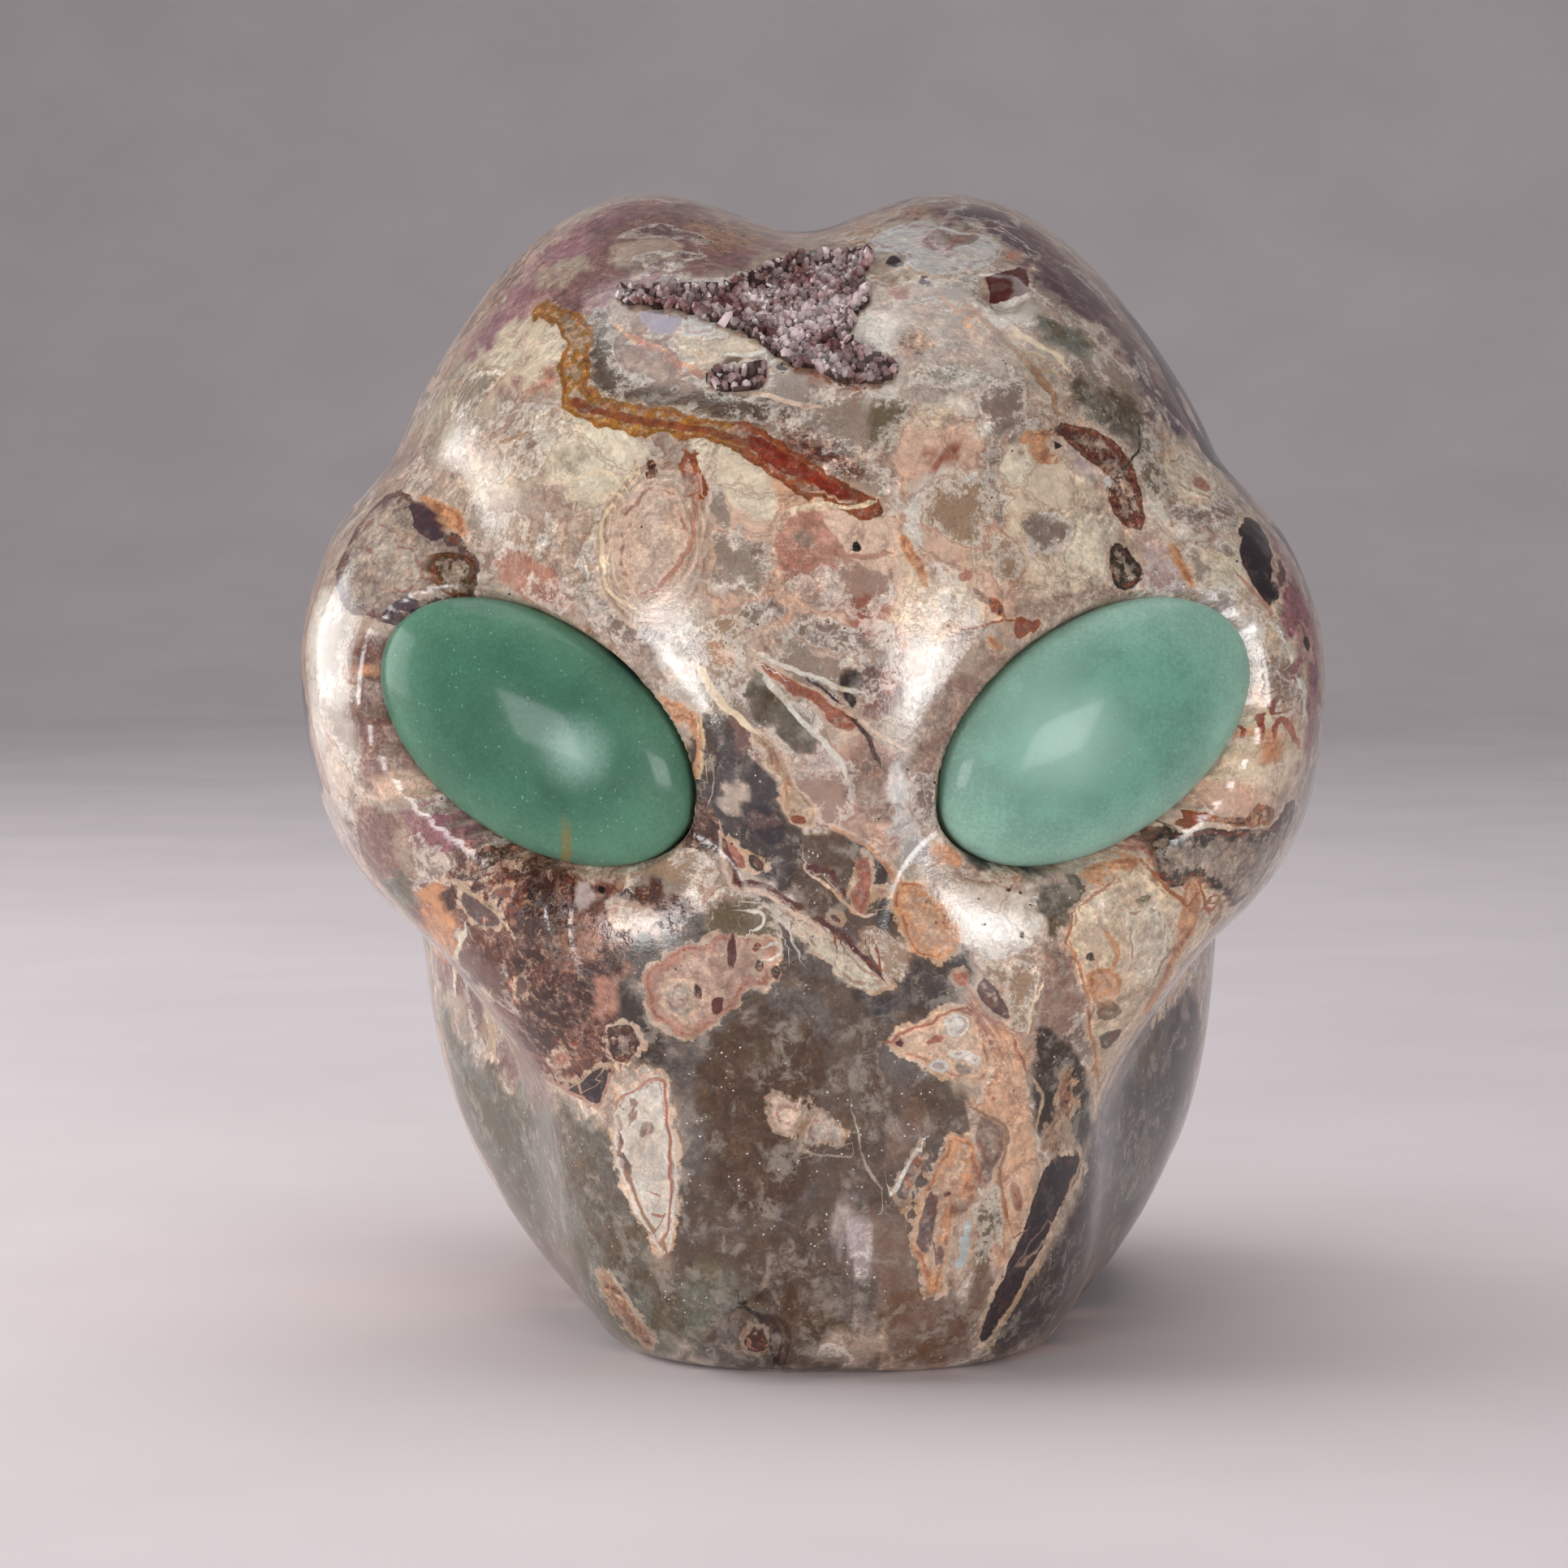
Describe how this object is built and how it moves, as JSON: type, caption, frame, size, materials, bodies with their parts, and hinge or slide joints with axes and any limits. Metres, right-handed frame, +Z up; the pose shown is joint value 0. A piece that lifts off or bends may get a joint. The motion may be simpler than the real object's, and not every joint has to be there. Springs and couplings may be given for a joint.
{
  "type": "alien skull carving",
  "caption": "Polished agate carving of an alien skull with oval green cabochon eyes and a crystal pocket at the crown, standing on a flat base.",
  "frame": {"origin": "middle of the stone's outline, on the flat base it stands on", "axes": "+Z up, the face looks along -Y, +X to the right as the face is seen"},
  "size_m": [0.0888, 0.1034, 0.1],
  "materials": {
    "agate": "brecciated agate in cream, salmon, rust, grey and plum, polished to a high gloss",
    "aventurine": "green aventurine with fine mica sparkle, polished, slightly translucent",
    "druzy": "small mauve-brown quartz crystals with bright flat faces"
  },
  "bodies": {
    "root": {"skull": "agate", "eye_right": "aventurine", "eye_left": "aventurine", "druzy_crust": "druzy"}
  },
  "joints": []
}
